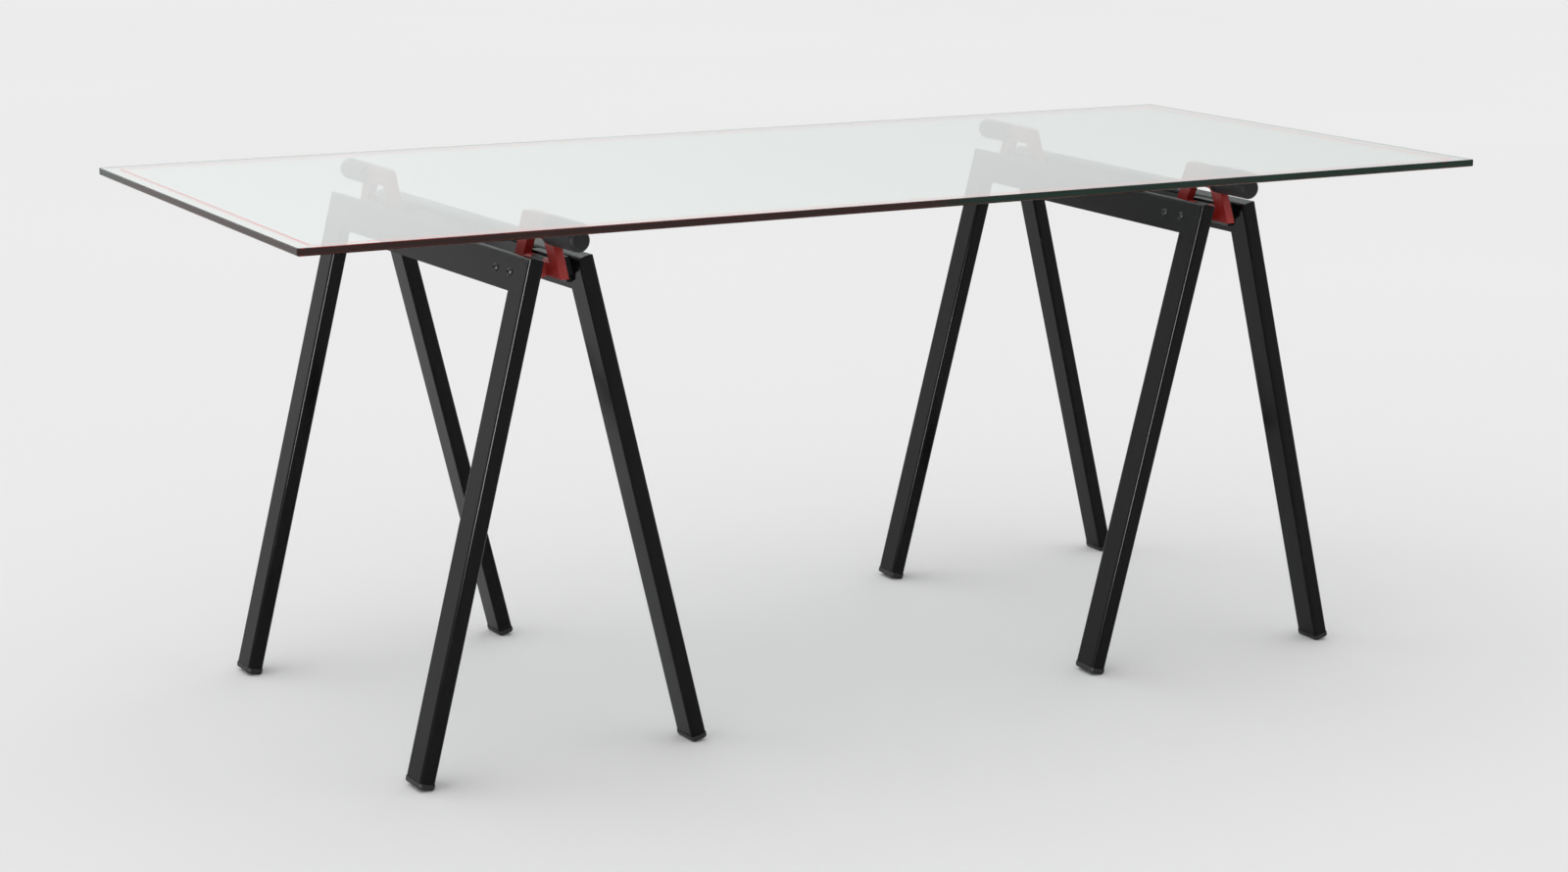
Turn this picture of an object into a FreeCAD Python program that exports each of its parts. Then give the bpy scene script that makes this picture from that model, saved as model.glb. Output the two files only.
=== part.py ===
"""Glass-topped trestle table: a loose glass top on two folding A-shaped trestles.

Frame: +X along the table's long side, +Y to the back, +Z up, origin on the floor under the
middle of the top.  All lengths are millimetres and all angles are degrees.

Each trestle is two flat frames that lean together at the top.  Frame A is on the -X side and
carries two hinge yokes, and frame B is on the +X side and carries two hinge brackets.  A pin
joins each yoke to its bracket, and a rubber sleeve on the end of each yoke carries the glass.
"""
import math
import os

import FreeCAD
import Part

# ---- Driving dimensions -------------------------------------------------------------------
table_height = 725.0          # floor to the glass's upper face
top_length = 1800.0
top_depth = 800.0
top_thickness = 10.0
top_corner_radius = 4.0
top_edge_chamfer = 1.0

border_inset = 24.0           # glass edge to the middle of the printed line
border_line_width = 4.5
border_thickness = 0.1

trestle_spacing = 1066.0      # between the middles of the two trestles
trestle_turn = {"left": 2.5, "right": -1.3}   # each trestle as it was set down, about +Z

frame_lean = 14.0             # each frame from the vertical, when open
frame_depth = 626.0           # end to end of a crossbar, along Y
frame_thickness = 22.0
leg_width = 45.0
crossbar_height = 47.0
frame_gap = 47.0              # between the two frames' inner faces, at their top edges
crossbar_drop = 45.0          # glass underside down to the frames' inner top edges
arris_radius = 4.5

cap_height = 8.0              # foot cap on each leg's end
cap_rim = 0.8                 # how far the cap stands proud of the leg
cap_edge_radius = 4.0

dowel_diameter = 8.0
dowel_length = 40.0
dowel_spacing = 22.0

glass_gap = 0.3               # rubber sleeve to glass
sleeve_radius = 15.0
sleeve_length = 80.0
sleeve_end_radius = 7.0
sleeve_start = 33.0           # joint middle to the sleeve's inner end, along Y
core_radius = 9.0             # the yoke's stub inside the sleeve
core_end_gap = 6.0            # stub's end to the sleeve's outer end
slip_gap = 0.05               # radial gap of a pin, screw or sleeve on what it fits

joint_inset = 67.0            # crossbar end to the middle of each joint, along Y
yoke_thickness = 12.0
yoke_offset = 3.0             # yoke's middle plane, from the trestle's middle towards frame B
yoke_bottom_below = 25.0      # frames' inner top edges down to the yoke's lower edge
yoke_half_width = 68.0        # at the lower edge
yoke_taper = 25.0             # slope of the yoke's sides from the vertical
yoke_top_gap = 1.5            # sleeve's top down to the yoke's top
yoke_corner_radius = 9.0
window_half_width = 22.0      # at the window's top
window_rise = 20.0            # frames' inner top edges up to the window's top
window_corner_radius = 8.0
window_taper = 28.0           # slope of the window's sides from the vertical
foot_half_width = 30.0        # the feet of yoke and bracket on their crossbars
foot_below = 36.0             # frames' inner top edges down to a foot's lower edge
foot_top_below = 8.0          # frames' inner top edges down to the yoke foot's upper edge
slot_depth_gap = 1.0          # knuckle slot's floor behind the yoke's own face

pivot_below = 10.0            # frames' inner top edges down to the hinge pin
pin_radius = 3.0
pin_length = 88.0
knuckle_half_width = 15.6
knuckle_radius = 5.7
knuckle_side_gap = 0.4
stop_gap = 0.3                # yoke to bracket when open
bracket_half_width = 40.0
bracket_below = 25.0          # frames' inner top edges down to the bracket's lower edge
bracket_top_below = 1.0
fold_relief_extra = 2.0       # degrees past the full fold

bolt_spacing = 40.0
bolt_radius = 3.0
bolt_head_radius = 6.0
bolt_head_height = 3.8
bolt_socket_radius = 2.0
bolt_socket_depth = 1.8
bolt_reach = 9.5              # bolt end past the crossbar's inner face
insert_radius = 4.5
insert_length = 9.0

# ---- Values that follow -------------------------------------------------------------------
LEAN = math.radians(frame_lean)
SIN, COS = math.sin(LEAN), math.cos(LEAN)
top_underside = table_height - top_thickness
frame_top = top_underside - crossbar_drop
sleeve_axis_height = top_underside - glass_gap - sleeve_radius
joint_middle = frame_depth / 2 - joint_inset
pivot_height = frame_top - pivot_below
fold_angle = 2 * frame_lean

# A foot stands on the rounded inner edge of its cap, so the frame's length comes from there.
_cap_centre_rise = cap_edge_radius - (cap_edge_radius - cap_rim) * SIN
frame_length = (frame_top - _cap_centre_rise) / COS + cap_edge_radius
leg_length = frame_length - crossbar_height - cap_height

Vec = FreeCAD.Vector
ALONG_X, ALONG_Y, ALONG_Z = Vec(1, 0, 0), Vec(0, 1, 0), Vec(0, 0, 1)
ORIGIN = Vec(0, 0, 0)


# ---- Small helpers ------------------------------------------------------------------------
def box(low, high):
    """A box between two opposite corners."""
    size = [b - a for a, b in zip(low, high)]
    return Part.makeBox(size[0], size[1], size[2], Vec(*low))


def rod(radius, start, direction, length):
    """A cylinder from a start point along a direction."""
    return Part.makeCylinder(radius, length, Vec(*start), direction)


def prism(points, thickness_vector):
    """A solid from a closed outline, pushed along a vector."""
    outline = Part.makePolygon([Vec(*p) for p in points] + [Vec(*points[0])])
    return Part.Face(outline).extrude(thickness_vector)


def edges_along(shape, direction):
    """Straight edges that run along a direction."""
    found = []
    for edge in shape.Edges:
        if len(edge.Vertexes) == 2 and isinstance(edge.Curve, Part.Line):
            run = edge.tangentAt(edge.FirstParameter)
            if abs(abs(run.dot(direction)) - 1) < 1e-6:
                found.append(edge)
    return found


def mirrored(shape, normal):
    """The shape's mirror image in the plane through the origin with this normal."""
    return shape.mirror(ORIGIN, normal)


def group(shapes):
    """Separate solids kept together in one node."""
    return Part.makeCompound(shapes)


# ---- One flat frame, drawn upright --------------------------------------------------------
# In a frame's own space X is the distance outwards from its inner face, Y runs along the
# crossbar and Z runs up the frame, with zero at the inner top edge.
def lean_frame(shape):
    """Put a piece of a frame drawn upright at its place in frame B."""
    placed = shape.copy()
    placed.rotate(ORIGIN, ALONG_Y, -frame_lean)
    placed.translate(Vec(frame_gap / 2, 0, frame_top))
    return placed


def crossbar_blank():
    bar = box((0, -frame_depth / 2, -crossbar_height), (frame_thickness, frame_depth / 2, 0))
    top_edges = [e for e in edges_along(bar, ALONG_Y) if e.BoundBox.ZMin > -crossbar_height / 2]
    end_edges = edges_along(bar, ALONG_Z)
    return bar.makeFillet(arris_radius, top_edges + end_edges)


def leg_blank(side):
    """A leg under the crossbar's end, on the +Y side for 1 and the -Y side for -1."""
    outer = frame_depth / 2
    leg = box((0, outer - leg_width, -crossbar_height - leg_length), (frame_thickness, outer, -crossbar_height))
    leg = leg.makeFillet(arris_radius, edges_along(leg, ALONG_Z))
    return leg if side > 0 else mirrored(leg, ALONG_Y)


def foot_cap(side):
    outer = frame_depth / 2
    low = (-cap_rim, outer - leg_width - cap_rim, -frame_length)
    high = (frame_thickness + cap_rim, outer + cap_rim, -frame_length + cap_height)
    cap = box(low, high)
    cap = cap.makeFillet(arris_radius + cap_rim, edges_along(cap, ALONG_Z))
    bottom = [e for e in cap.Edges if e.BoundBox.ZMax < -frame_length + cap_height / 2]
    cap = cap.makeFillet(cap_edge_radius, bottom)
    return cap if side > 0 else mirrored(cap, ALONG_Y)


def dowel_places():
    """Middle line of each dowel in a frame, as X and Y."""
    leg_middle = frame_depth / 2 - leg_width / 2
    places = []
    for side in (-1, 1):
        for step in (-0.5, 0.5):
            places.append((frame_thickness / 2, side * leg_middle + step * dowel_spacing))
    return places


def dowels(radius):
    """The dowels between crossbar and legs, or their holes with a larger radius."""
    low = -crossbar_height - dowel_length / 2
    return [rod(radius, (x, y, low), ALONG_Z, dowel_length) for x, y in dowel_places()]


def bolt_places():
    """Y of each bolt in a frame, front to back."""
    places = []
    for side in (-1, 1):
        for step in (-0.5, 0.5):
            places.append(side * joint_middle + step * bolt_spacing)
    return places


def bolt(y):
    """A dome-head bolt from the frame's outer face, with a hexagon socket."""
    z = -crossbar_height / 2
    shank = rod(bolt_radius, (-bolt_reach, y, z), ALONG_X, bolt_reach + frame_thickness)
    dome_radius = (bolt_head_radius ** 2 + bolt_head_height ** 2) / (2 * bolt_head_height)
    ball = Part.makeSphere(dome_radius, Vec(frame_thickness + bolt_head_height - dome_radius, y, z))
    reach = 2 * bolt_head_radius
    front = box((frame_thickness, y - reach, z - reach), (frame_thickness + reach, y + reach, z + reach))
    return shank.fuse(ball.common(front)).removeSplitter().cut(bolt_socket(y, z))


def bolt_socket(y, z):
    base = frame_thickness + bolt_head_height - bolt_socket_depth
    corners = []
    for step in range(6):
        angle = math.radians(60 * step)
        corners.append((base, y + bolt_socket_radius * math.cos(angle), z + bolt_socket_radius * math.sin(angle)))
    return prism(corners, Vec(2 * bolt_socket_depth, 0, 0))


def bolt_holes(reach, radius):
    """Cylinders round the bolts' lines, from a depth inside to past the outer face."""
    z = -crossbar_height / 2
    length = reach + frame_thickness
    return [rod(radius, (-reach, y, z), ALONG_X, length) for y in bolt_places()]


def insert(y):
    """A threaded metal insert round a bolt's end, sunk into the yoke or bracket."""
    z = -crossbar_height / 2
    outside = rod(insert_radius, (-insert_length, y, z), ALONG_X, insert_length)
    inside = rod(bolt_radius + slip_gap, (-insert_length, y, z), ALONG_X, insert_length)
    return outside.cut(inside)


def frame_pieces():
    """All pieces of one flat frame, drawn upright."""
    crossbar = crossbar_blank()
    for hole in dowels(dowel_diameter / 2) + bolt_holes(0, bolt_radius + slip_gap):
        crossbar = crossbar.cut(hole)
    pieces = {"crossbar": crossbar}
    for name, side in (("front", -1), ("back", 1)):
        leg = leg_blank(side)
        for hole in dowels(dowel_diameter / 2):
            leg = leg.cut(hole)
        pieces["leg_" + name] = leg
        pieces["foot_cap_" + name] = foot_cap(side)
    pieces["dowels"] = group(dowels(dowel_diameter / 2))
    pieces["bolts"] = group([bolt(y) for y in bolt_places()])
    pieces["inserts"] = group([insert(y) for y in bolt_places()])
    return pieces


# ---- The joints between the two frames ----------------------------------------------------
# A joint at the back end of a trestle is drawn in the trestle's own space, and the joint at
# the front end is its mirror image.
def inner_face_x(height):
    """X of frame B's inner face at a height."""
    return frame_gap / 2 + (frame_top - height) * math.tan(LEAN)


def joint_outline(points, x_start, thickness):
    """An outline given as (distance from the joint's middle, height), as a plate along X."""
    placed = [(x_start, joint_middle + y, z) for y, z in points]
    return prism(placed, Vec(thickness, 0, 0))


def yoke_plate():
    """The tapered plate with its window."""
    low = frame_top - yoke_bottom_below
    high = sleeve_axis_height + sleeve_radius - yoke_top_gap
    half_top = yoke_half_width - (high - low) * math.tan(math.radians(yoke_taper))
    x_start = yoke_offset - yoke_thickness / 2
    outline = [(-yoke_half_width, low), (yoke_half_width, low), (half_top, high), (-half_top, high)]
    plate = joint_outline(outline, x_start, yoke_thickness)
    corners = [e for e in edges_along(plate, ALONG_X) if e.BoundBox.ZMin > pivot_height]
    plate = plate.makeFillet(yoke_corner_radius, corners)

    window_top = frame_top + window_rise
    spread = math.tan(math.radians(window_taper))
    half_low = window_half_width + (window_top - pivot_height) * spread
    window = [(-half_low, pivot_height), (half_low, pivot_height)]
    window += [(window_half_width, window_top), (-window_half_width, window_top)]
    hole = joint_outline(window, x_start, yoke_thickness)
    corners = [e for e in edges_along(hole, ALONG_X) if e.BoundBox.ZMin > pivot_height + 1]
    return plate.cut(hole.makeFillet(window_corner_radius, corners))


def yoke_barrel():
    """The round upper edge of the lower web, which the hinge pin runs through."""
    half = window_half_width + (frame_top + window_rise - pivot_height) * math.tan(math.radians(window_taper))
    start = (yoke_offset, joint_middle - half, pivot_height)
    return rod(yoke_thickness / 2, start, ALONG_Y, 2 * half)


def yoke_foot():
    """The block from the plate to crossbar A's inner face, its underside rising to the plate's."""
    low = frame_top - foot_below
    high = frame_top - foot_top_below
    front = yoke_offset - yoke_thickness / 2
    outline = [(-inner_face_x(low), low), (front, frame_top - yoke_bottom_below)]
    outline += [(front, high), (-inner_face_x(high), high)]
    start = joint_middle - foot_half_width
    return prism([(x, start, z) for x, z in outline], Vec(0, 2 * foot_half_width, 0))


def yoke_core():
    """The round stub that carries the rubber sleeve."""
    start = joint_middle + sleeve_start - core_radius
    length = joint_middle + sleeve_start + sleeve_length - core_end_gap - start
    return rod(core_radius, (yoke_offset, start, sleeve_axis_height), ALONG_Y, length)


def sleeve(radius):
    """The rubber sleeve's outer body, or the room that it takes out of the yoke."""
    start = (yoke_offset, joint_middle + sleeve_start, sleeve_axis_height)
    return rod(radius, start, ALONG_Y, sleeve_length)


def rubber_sleeve():
    body = sleeve(sleeve_radius)
    end = [e for e in body.Edges if e.BoundBox.YMin > joint_middle + sleeve_start + sleeve_length / 2]
    body = body.makeFillet(sleeve_end_radius, [e for e in end if e.BoundBox.YLength < 1])
    bore = rod(core_radius + slip_gap, (yoke_offset, joint_middle + sleeve_start, sleeve_axis_height),
               ALONG_Y, sleeve_length - core_end_gap + slip_gap)
    return body.cut(bore)


def knuckle_slot():
    """The gap in the yoke's lower web where the bracket's knuckle turns."""
    half = knuckle_half_width + knuckle_side_gap
    low = frame_top - foot_below
    front = yoke_offset - yoke_thickness / 2 - slot_depth_gap
    return box((front, joint_middle - half, low), (frame_gap, joint_middle + half, frame_top))


def yoke():
    """A moulded hinge yoke, on frame A."""
    body = yoke_plate().fuse(yoke_barrel()).fuse(yoke_foot())
    body = body.cut(sleeve(sleeve_radius + slip_gap)).fuse(yoke_core())
    body = body.cut(knuckle_slot()).cut(hinge_pin(pin_radius + slip_gap))
    for hole in fastener_room():
        body = body.cut(mirrored(hole, ALONG_X))
    return body.removeSplitter()


def hinge_pin(radius):
    start = (yoke_offset, joint_middle - pin_length / 2, pivot_height)
    return rod(radius, start, ALONG_Y, pin_length)


def fastener_room():
    """The room that inserts and bolt ends take out of a bracket on frame B."""
    holes = bolt_holes(insert_length, insert_radius)
    holes += bolt_holes(bolt_reach + slip_gap, bolt_radius + slip_gap)
    return [lean_frame(hole) for hole in holes]


def bracket_block(half_width, low):
    """A block on frame B's inner face, cut back below the pin so that the frame can fold."""
    high = frame_top - bracket_top_below
    stop = yoke_offset + yoke_thickness / 2 + stop_gap
    start = pivot_height + pin_radius
    relief_x = stop + (start - low) * math.tan(math.radians(fold_angle + fold_relief_extra))
    outline = [(stop, high), (stop, start), (relief_x, low), (inner_face_x(low), low), (inner_face_x(high), high)]
    near = joint_middle - half_width
    return prism([(x, near, z) for x, z in outline], Vec(0, 2 * half_width, 0))


def bracket():
    """The moulded bracket on frame B, which stops against the yoke when the trestle is open."""
    body = bracket_block(bracket_half_width, frame_top - bracket_below)
    body = body.fuse(bracket_block(foot_half_width, frame_top - foot_below))
    body = body.fuse(knuckle()).cut(hinge_pin(pin_radius + slip_gap))
    for hole in fastener_room():
        body = body.cut(hole)
    return body.removeSplitter()


def knuckle():
    """The bracket's eye round the hinge pin, and its short arm."""
    start = joint_middle - knuckle_half_width
    eye = rod(knuckle_radius, (yoke_offset, start, pivot_height), ALONG_Y, 2 * knuckle_half_width)
    stop = yoke_offset + yoke_thickness / 2 + stop_gap
    high = pivot_height + knuckle_radius
    arm = box((yoke_offset, start, pivot_height), (stop + 2, start + 2 * knuckle_half_width, high))
    return eye.fuse(arm)


# ---- Whole trestle and the top ------------------------------------------------------------
def trestle_pieces():
    """All pieces of one trestle in its own space, under names without the trestle's side."""
    pieces = {}
    for name, shape in frame_pieces().items():
        placed = lean_frame(shape)
        pieces["frame_b_" + name] = placed
        pieces["frame_a_" + name] = mirrored(placed, ALONG_X)
    joint = {"yoke": yoke(), "bracket": bracket(), "hinge_pin": hinge_pin(pin_radius), "sleeve": rubber_sleeve()}
    for name, shape in joint.items():
        pieces[name + "_back"] = shape
        pieces[name + "_front"] = mirrored(shape, ALONG_Y)
    return pieces


def set_down(shape, side):
    """Turn a trestle's piece and move it to its place under the top."""
    placed = shape.copy()
    placed.rotate(ORIGIN, ALONG_Z, trestle_turn[side])
    sign = -1 if side == "left" else 1
    placed.translate(Vec(sign * trestle_spacing / 2, 0, 0))
    return placed


def rounded_plate(length, depth, low, high, radius):
    plate = box((-length / 2, -depth / 2, low), (length / 2, depth / 2, high))
    return plate.makeFillet(radius, edges_along(plate, ALONG_Z))


def glass_top():
    plate = rounded_plate(top_length, top_depth, top_underside, table_height, top_corner_radius)
    rims = [e for e in plate.Edges if e.BoundBox.ZLength < top_thickness / 2]
    return plate.makeChamfer(top_edge_chamfer, rims)


def border_line():
    """The line printed all round on the glass's underside."""
    outer = Vec(1, 1, 0) * (border_inset - border_line_width / 2)
    inner = Vec(1, 1, 0) * (border_inset + border_line_width / 2)
    low = Vec(-top_length / 2, -top_depth / 2, top_underside - border_thickness)
    high = Vec(top_length / 2, top_depth / 2, top_underside)
    return box(low + outer, high - outer).cut(box(low + inner, high - inner))


def main():
    nodes = {"glass_top": glass_top(), "border_line": border_line()}
    pieces = trestle_pieces()
    for side in ("left", "right"):
        for name, shape in pieces.items():
            nodes[side + "_" + name] = set_down(shape, side)
    os.makedirs("parts", exist_ok=True)
    for name, shape in nodes.items():
        shape.exportStep("parts/" + name + ".step")
        print("%-32s solids %d  valid %s  volume %.1f" % (name, len(shape.Solids), shape.isValid(), shape.Volume))


main()
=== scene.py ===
"""Looks for the glass-topped trestle table: materials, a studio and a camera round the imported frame."""
import math

import bpy
from mathutils import Matrix, Vector


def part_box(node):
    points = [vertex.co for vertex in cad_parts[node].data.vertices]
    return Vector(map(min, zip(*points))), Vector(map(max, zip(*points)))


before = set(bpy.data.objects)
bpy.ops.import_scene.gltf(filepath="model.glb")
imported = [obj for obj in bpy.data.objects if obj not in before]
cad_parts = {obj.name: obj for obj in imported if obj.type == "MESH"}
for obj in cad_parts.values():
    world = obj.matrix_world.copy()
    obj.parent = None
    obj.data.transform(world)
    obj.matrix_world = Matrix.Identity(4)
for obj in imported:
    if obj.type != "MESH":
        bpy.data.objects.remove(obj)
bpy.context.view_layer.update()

# ---- Camera: where it stands, seen from a point near the middle of the object ----
CAMERA_AZIMUTH = -29.11       # degrees from the front, towards the left when negative
CAMERA_ELEVATION = 12.68      # degrees above level
CAMERA_ROLL = 0.34            # degrees
CAMERA_DISTANCE = 4.369       # metres
CAMERA_TARGET = (-0.024, 0.0, 0.329)
LENS_MM = 69.14
SENSOR_MM = 36.0

# ---- Studio, in metres ----
FLOOR_RADIUS = 30.0
FLOOR_SIDES = 96
FLOOR_COLOUR = (0.84, 0.84, 0.835)
FLOOR_DRIFT = 0.985                # the darkest patches' share of the floor's colour
LOW_WORLD = (0.77, 0.77, 0.77)     # near the horizon
HIGH_WORLD = (1.34, 1.34, 1.35)    # overhead
WORLD_HEIGHTS = (0.1, 0.9)         # where the low light starts to change and the high light is reached
BRIGHT_SIDE = (-0.55, 0.83, 0.0)   # where the studio's brighter walls are
SIDE_SHARES = (0.52, 1.20)         # share of the world's light from the dark and the bright side
SIDE_LIMITS = (-0.9, 0.9)          # how far a direction faces the bright side where each share is reached
WINDOW_PLACE = (-3.0, -1.75, 1.05)
WINDOW_AIM = (-0.3, 0.0, 0.55)
WINDOW_SIZE = (1.2, 1.1)
WINDOW_WATTS = 120.0

# ---- Surfaces ----
EVEN = (1, 1, 1)                   # a pattern that isn't stretched along any axis
UPRIGHT_GRAIN = (9.0, 9.0, 0.6)
LENGTHWISE_GRAIN = (9.0, 0.6, 9.0)
LACQUER_IOR = 1.235                # a weak shine, so that the black faces stay dark in a pale studio
RUBBER_IOR = 1.38
INK_GLOW = 0.6                     # stands in for light that shines through the printed line
GLASS_IOR = 1.52
GLASS_TINT = (0.965, 0.995, 0.985, 1.0)
MIRROR_TINT = (0.985, 1.0, 0.992, 1.0)
VEIL_POWER = 6.0                   # how steeply the mirror rises towards a low view
EDGE_IOR = 1.33
EDGE_FLAT_LIMITS = (0.55, 0.85)    # upright size of the normal, from the glass's edge to its flat face
# painted reflection of the red border line, put into the colour of the glass edge's foot
PAINTED_REFLECTION_RED = (0.085, 0.018, 0.010)
PAINTED_REFLECTION_SHARE = 0.75                # how much of the edge's foot shows the painted reflection of the border line's red
PAINTED_REFLECTION_HEIGHTS = (0.0004, 0.0030)  # metres above the underside where that painted red reflection starts to fade and is gone


# ======================= node helpers =======================
MIX_COLOUR_INPUTS = (6, 7)         # the Mix node's colour sockets share their names with its other sockets
MIX_COLOUR_OUTPUT = 2


def new_material(name):
    """An empty material and its tree, ready for nodes."""
    material = bpy.data.materials.new(name)
    material.use_nodes = True
    tree = material.node_tree
    tree.nodes.clear()
    return material, tree


def add(tree, kind, inputs=(), **settings):
    """A node with settings on it and values or links on its inputs."""
    node = tree.nodes.new(kind)
    for key, value in settings.items():
        setattr(node, key, value)
    for key, value in dict(inputs).items():
        if isinstance(value, bpy.types.NodeSocket):
            tree.links.new(value, node.inputs[key])
        else:
            node.inputs[key].default_value = value
    return node


def finish_material(tree, shader):
    output = add(tree, "ShaderNodeOutputMaterial")
    tree.links.new(shader, output.inputs["Surface"])


def stretched_coordinates(tree, scale):
    """Object coordinates in metres, multiplied along each axis."""
    place = add(tree, "ShaderNodeTexCoord")
    mapping = add(tree, "ShaderNodeMapping", {"Vector": place.outputs["Object"], "Scale": scale})
    return mapping.outputs["Vector"]


def noise(tree, vector, scale, detail, roughness=0.5):
    node = add(tree, "ShaderNodeTexNoise",
               {"Vector": vector, "Scale": scale, "Detail": detail, "Roughness": roughness})
    return node.outputs["Fac"]


def spread(tree, value, low, high, start=0.3, end=0.7):
    """A number that runs from low to high as the value runs from start to end."""
    node = add(tree, "ShaderNodeMapRange", {"Value": value, "From Min": start, "From Max": end,
                                            "To Min": low, "To Max": high})
    return node.outputs["Result"]


def blend_colours(tree, factor, first, second):
    node = add(tree, "ShaderNodeMix", {"Factor": factor}, data_type="RGBA")
    for index, colour in zip(MIX_COLOUR_INPUTS, (first, second)):
        if isinstance(colour, bpy.types.NodeSocket):
            tree.links.new(colour, node.inputs[index])
        else:
            node.inputs[index].default_value = (*colour, 1.0)
    return node.outputs[MIX_COLOUR_OUTPUT]


def mottled(tree, pattern, dark, light, start=0.3, end=0.7):
    """A colour that runs from dark to light as the pattern runs from start to end."""
    return blend_colours(tree, spread(tree, pattern, 0.0, 1.0, start, end), dark, light)


def bump(tree, height, distance, strength, normal=None):
    inputs = {"Height": height, "Distance": distance, "Strength": strength}
    if normal is not None:
        inputs["Normal"] = normal
    return add(tree, "ShaderNodeBump", inputs).outputs["Normal"]


def principled(tree, **inputs):
    named = {key.replace("_", " "): value for key, value in inputs.items()}
    return add(tree, "ShaderNodeBsdfPrincipled", named).outputs[0]


def mix_shaders(tree, share, first, second):
    return add(tree, "ShaderNodeMixShader", {0: share, 1: first, 2: second}).outputs[0]


# ======================= materials =======================
def lacquer(name, grain_scale):
    """Black lacquer over close-grained wood: a little grain and orange peel, worn shinier in patches."""
    material, tree = new_material(name)
    grain = noise(tree, stretched_coordinates(tree, grain_scale), scale=9.0, detail=5.0, roughness=0.6)
    peel = noise(tree, stretched_coordinates(tree, EVEN), scale=620.0, detail=2.0)
    patches = noise(tree, stretched_coordinates(tree, EVEN), scale=11.0, detail=3.0)
    colour = mottled(tree, grain, dark=(0.0022, 0.0022, 0.0024), light=(0.0044, 0.0042, 0.0042))
    wood = bump(tree, grain, distance=0.00018, strength=0.35)
    relief = bump(tree, peel, distance=0.00006, strength=0.35, normal=wood)
    finish_material(tree, principled(tree, Base_Color=colour, Roughness=spread(tree, patches, 0.09, 0.17),
                                     IOR=LACQUER_IOR, Normal=relief))
    return material


def moulded(name, dark, light, rough, ior=1.46):
    """Moulded plastic: a fine sparked grain, slight colour drift and softer shine in patches."""
    material, tree = new_material(name)
    plain = stretched_coordinates(tree, EVEN)
    drift = noise(tree, plain, scale=26.0, detail=3.0)
    grain = noise(tree, plain, scale=900.0, detail=3.0, roughness=0.6)
    patches = noise(tree, plain, scale=60.0, detail=4.0)
    finish_material(tree, principled(tree, Base_Color=mottled(tree, drift, dark, light), IOR=ior,
                                     Roughness=spread(tree, patches, rough - 0.05, rough + 0.08),
                                     Normal=bump(tree, grain, distance=0.00008, strength=0.5)))
    return material


def rubber(name):
    """Matt black rubber with a powdery bloom and fine pores."""
    material, tree = new_material(name)
    plain = stretched_coordinates(tree, EVEN)
    bloom = noise(tree, plain, scale=42.0, detail=6.0, roughness=0.65)
    pores = add(tree, "ShaderNodeTexVoronoi", {"Vector": plain, "Scale": 1400.0}).outputs["Distance"]
    colour = mottled(tree, bloom, dark=(0.006, 0.006, 0.0065), light=(0.016, 0.016, 0.017),
                     start=0.35, end=0.75)
    powder = bump(tree, bloom, distance=0.0002, strength=0.3)
    relief = bump(tree, pores, distance=0.00008, strength=0.4, normal=powder)
    finish_material(tree, principled(tree, Base_Color=colour, Roughness=spread(tree, bloom, 0.5, 0.68),
                                     IOR=RUBBER_IOR, Normal=relief, Sheen_Weight=0.03,
                                     Sheen_Roughness=0.6))
    return material


def metal(name, dark, light, rough, stretch, metallic=1.0):
    """Turned or ground metal with fine lines."""
    material, tree = new_material(name)
    lines = noise(tree, stretched_coordinates(tree, stretch), scale=260.0, detail=3.0)
    finish_material(tree, principled(tree, Base_Color=mottled(tree, lines, dark, light), Metallic=metallic,
                                     Roughness=spread(tree, lines, rough, rough + 0.16),
                                     Normal=bump(tree, lines, distance=0.00004, strength=0.4)))
    return material


def bare_wood(name):
    """Plain turned beech with short flecks."""
    material, tree = new_material(name)
    rings = noise(tree, stretched_coordinates(tree, (1, 1, 0.06)), scale=260.0, detail=5.0, roughness=0.6)
    colour = mottled(tree, rings, dark=(0.42, 0.24, 0.12), light=(0.66, 0.45, 0.26))
    finish_material(tree, principled(tree, Base_Color=colour, Roughness=spread(tree, rings, 0.5, 0.68),
                                     Normal=bump(tree, rings, distance=0.0002, strength=0.5)))
    return material


def print_ink(name):
    """Fired enamel on the glass's underside. Its faint glow stands in for light that shines through it."""
    material, tree = new_material(name)
    mottle = noise(tree, stretched_coordinates(tree, EVEN), scale=700.0, detail=4.0)
    colour = mottled(tree, mottle, dark=(0.55, 0.012, 0.012), light=(0.72, 0.03, 0.025))
    finish_material(tree, principled(tree, Base_Color=colour, Roughness=spread(tree, mottle, 0.3, 0.45),
                                     Normal=bump(tree, mottle, distance=0.00003, strength=0.4),
                                     Emission_Color=colour, Emission_Strength=INK_GLOW))
    return material


def upright_share(tree):
    """1 on the glass's upright edges and 0 on its flat faces."""
    geometry = add(tree, "ShaderNodeNewGeometry")
    parts = add(tree, "ShaderNodeSeparateXYZ", {"Vector": geometry.outputs["Normal"]})
    flatness = add(tree, "ShaderNodeMath", {0: parts.outputs["Z"]}, operation="ABSOLUTE")
    return spread(tree, flatness.outputs[0], 1.0, 0.0, *EDGE_FLAT_LIMITS)


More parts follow.
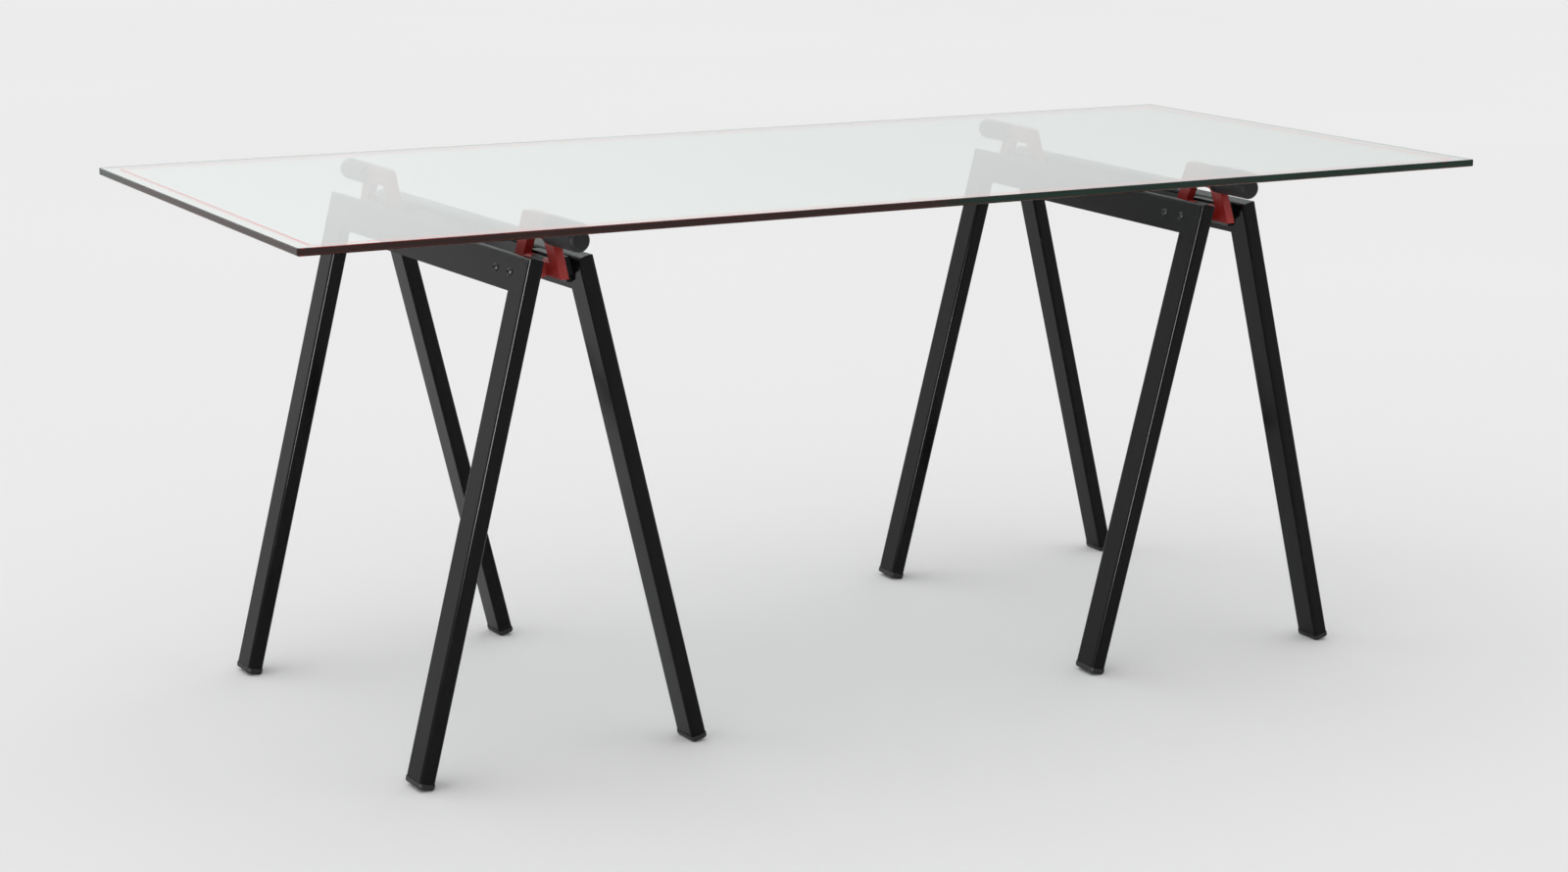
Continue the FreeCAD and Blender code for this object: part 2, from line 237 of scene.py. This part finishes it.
def glass_edge(tree, plain):
    """Polished edge of thick float glass: dark green, with painted reflections of the red border line in
    brownish-red patches and along its foot.
    """
    patches = noise(tree, stretched_coordinates(tree, (1.0, 1.0, 0.2)), scale=1.7, detail=3.0, roughness=0.55)
    streaks = noise(tree, stretched_coordinates(tree, (2.0, 2.0, 150.0)),
                    scale=9.0, detail=4.0, roughness=0.6)
    green = mottled(tree, streaks, dark=(0.002, 0.012, 0.008), light=(0.006, 0.034, 0.022))
    # brownish-red patches: a painted reflection of the red border line, not a colour of the glass
    painted_reflection_brown = mottled(tree, streaks, dark=(0.012, 0.004, 0.003), light=(0.042, 0.013, 0.008))
    colour = mottled(tree, patches, painted_reflection_brown, green, start=0.50, end=0.60)
    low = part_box("glass_top")[0].z
    height = add(tree, "ShaderNodeSeparateXYZ", {"Vector": plain}).outputs["Z"]
    fade_start, fade_end = (low + rise for rise in PAINTED_REFLECTION_HEIGHTS)
    # painted reflection of the border line's red along the edge's foot, fading out upwards
    painted_reflection_fade = spread(tree, height, PAINTED_REFLECTION_SHARE, 0.0, fade_start, fade_end)
    colour = blend_colours(tree, painted_reflection_fade, colour, PAINTED_REFLECTION_RED)
    return principled(tree, Base_Color=colour, Roughness=spread(tree, streaks, 0.10, 0.22), IOR=EDGE_IOR)


def glass(name):
    """Float glass: clear and faintly green face on, a pale mirror at a low angle, dark at its edges."""
    material, tree = new_material(name)
    plain = stretched_coordinates(tree, EVEN)
    smears = noise(tree, stretched_coordinates(tree, (1.0, 2.2, 1.0)), scale=3.2, detail=5.0, roughness=0.62)
    ripple = bump(tree, noise(tree, plain, scale=3.5, detail=2.0), distance=0.00012, strength=0.25)
    body = add(tree, "ShaderNodeBsdfGlass",
               {"Color": GLASS_TINT, "Roughness": 0.0, "IOR": GLASS_IOR, "Normal": ripple})
    shine = add(tree, "ShaderNodeBsdfGlossy",
                {"Color": MIRROR_TINT, "Roughness": spread(tree, smears, 0.02, 0.06), "Normal": ripple})
    angle = add(tree, "ShaderNodeLayerWeight", {"Blend": 0.5}).outputs["Facing"]
    veil = add(tree, "ShaderNodeMath", {0: angle, 1: VEIL_POWER}, operation="POWER").outputs[0]
    face = mix_shaders(tree, veil, body.outputs[0], shine.outputs[0])
    finish_material(tree, mix_shaders(tree, upright_share(tree), face, glass_edge(tree, plain)))
    return material


MATERIALS = {
    "leg": lacquer("lacquer_leg", UPRIGHT_GRAIN),
    "crossbar": lacquer("lacquer_crossbar", LENGTHWISE_GRAIN),
    "foot_cap": moulded("foot_plastic", dark=(0.006, 0.006, 0.006), light=(0.012, 0.012, 0.012), rough=0.5),
    "dowels": bare_wood("beech"),
    "bolts": metal("bolt_black", dark=(0.020, 0.020, 0.021), light=(0.055, 0.055, 0.057), rough=0.22,
                   stretch=EVEN, metallic=0.9),
    "inserts": metal("insert_brass", dark=(0.55, 0.38, 0.14), light=(0.80, 0.60, 0.28), rough=0.25,
                     stretch=(1, 8, 8)),
    "hinge_pin": metal("pin_steel", dark=(0.42, 0.42, 0.43), light=(0.68, 0.68, 0.70), rough=0.2,
                       stretch=(8, 1, 8)),
    "yoke": moulded("yoke_red", dark=(0.32, 0.011, 0.008), light=(0.42, 0.024, 0.018), rough=0.38, ior=1.62),
    "bracket": moulded("bracket_black", dark=(0.007, 0.006, 0.007), light=(0.013, 0.011, 0.012), rough=0.4),
    "sleeve": rubber("sleeve_rubber"),
    "border_line": print_ink("border_ink"),
    "glass_top": glass("top_glass"),
}


def dress_nodes():
    """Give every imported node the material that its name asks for."""
    for name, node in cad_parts.items():
        kind = next(key for key in MATERIALS if key in name)
        node.data.materials.clear()
        node.data.materials.append(MATERIALS[kind])


# ======================= studio =======================
def floor_paint():
    """Plain matt paint with a faint drift in its colour."""
    material, tree = new_material("studio_floor")
    drift = noise(tree, stretched_coordinates(tree, EVEN), scale=0.35, detail=3.0)
    darker = [part * FLOOR_DRIFT for part in FLOOR_COLOUR]
    finish_material(tree, principled(tree, Base_Color=mottled(tree, drift, darker, FLOOR_COLOUR),
                                     Roughness=0.9, Specular_IOR_Level=0.0))
    return material


def floor():
    """A wide round floor, larger than the camera sees."""
    step = 2 * math.pi / FLOOR_SIDES
    ring = [(FLOOR_RADIUS * math.cos(step * i), FLOOR_RADIUS * math.sin(step * i), 0)
            for i in range(FLOOR_SIDES)]
    mesh = bpy.data.meshes.new("studio_floor")
    mesh.from_pydata(ring, [], [list(range(FLOOR_SIDES))])
    mesh.materials.append(floor_paint())
    piece = bpy.data.objects.new("studio_floor", mesh)
    bpy.context.scene.collection.objects.link(piece)


def window_card():
    """A bright window at the left. Rounded edges and bolt heads mirror it, the glass and floor don't."""
    light = bpy.data.lights.new("window_card", "AREA")
    light.shape = "RECTANGLE"
    light.size, light.size_y = WINDOW_SIZE
    light.energy = WINDOW_WATTS
    lamp = bpy.data.objects.new("window_card", light)
    lamp.location = WINDOW_PLACE
    lamp.rotation_euler = (Vector(WINDOW_AIM) - Vector(WINDOW_PLACE)).to_track_quat("-Z", "Y").to_euler()
    lamp.visible_diffuse = False
    reflectors = bpy.data.collections.new("window_reflectors")
    for name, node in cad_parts.items():
        if name != "glass_top":
            reflectors.objects.link(node)
    lamp.light_linking.receiver_collection = reflectors
    bpy.context.scene.collection.objects.link(lamp)


def studio_world():
    """Soft walls and ceiling: brighter overhead and behind, darker in front."""
    world = bpy.data.worlds.new("studio")
    world.use_nodes = True
    tree = world.node_tree
    way = add(tree, "ShaderNodeTexCoord").outputs["Generated"]
    height = add(tree, "ShaderNodeSeparateXYZ", {"Vector": way}).outputs["Z"]
    colour = mottled(tree, height, LOW_WORLD, HIGH_WORLD, *WORLD_HEIGHTS)
    turn = add(tree, "ShaderNodeVectorMath", {0: way, 1: BRIGHT_SIDE}, operation="DOT_PRODUCT")
    share = spread(tree, turn.outputs["Value"], *SIDE_SHARES, *SIDE_LIMITS)
    background = tree.nodes["Background"]
    tree.links.new(colour, background.inputs["Color"])
    tree.links.new(share, background.inputs["Strength"])
    bpy.context.scene.world = world


def studio():
    studio_world()
    window_card()
    floor()


def camera():
    """The photograph's viewpoint, turned a little about its own line of sight."""
    azimuth, elevation, roll = (math.radians(a) for a in (CAMERA_AZIMUTH, CAMERA_ELEVATION, CAMERA_ROLL))
    back = Vector((math.sin(azimuth) * math.cos(elevation), -math.cos(azimuth) * math.cos(elevation),
                   math.sin(elevation)))
    level = Vector((0, 0, 1)).cross(back).normalized()
    upright = back.cross(level)
    right = level * math.cos(roll) + upright * math.sin(roll)
    up = upright * math.cos(roll) - level * math.sin(roll)
    data = bpy.data.cameras.new("camera")
    data.sensor_width = SENSOR_MM
    data.lens = LENS_MM
    data.clip_end = 4 * FLOOR_RADIUS
    eye = bpy.data.objects.new("camera", data)
    turn = Matrix((right, up, back)).transposed().to_4x4()
    eye.matrix_world = Matrix.Translation(Vector(CAMERA_TARGET) + back * CAMERA_DISTANCE) @ turn
    bpy.context.scene.collection.objects.link(eye)
    bpy.context.scene.camera = eye


camera()
studio()
dress_nodes()
bpy.context.scene.view_settings.view_transform = "Standard"
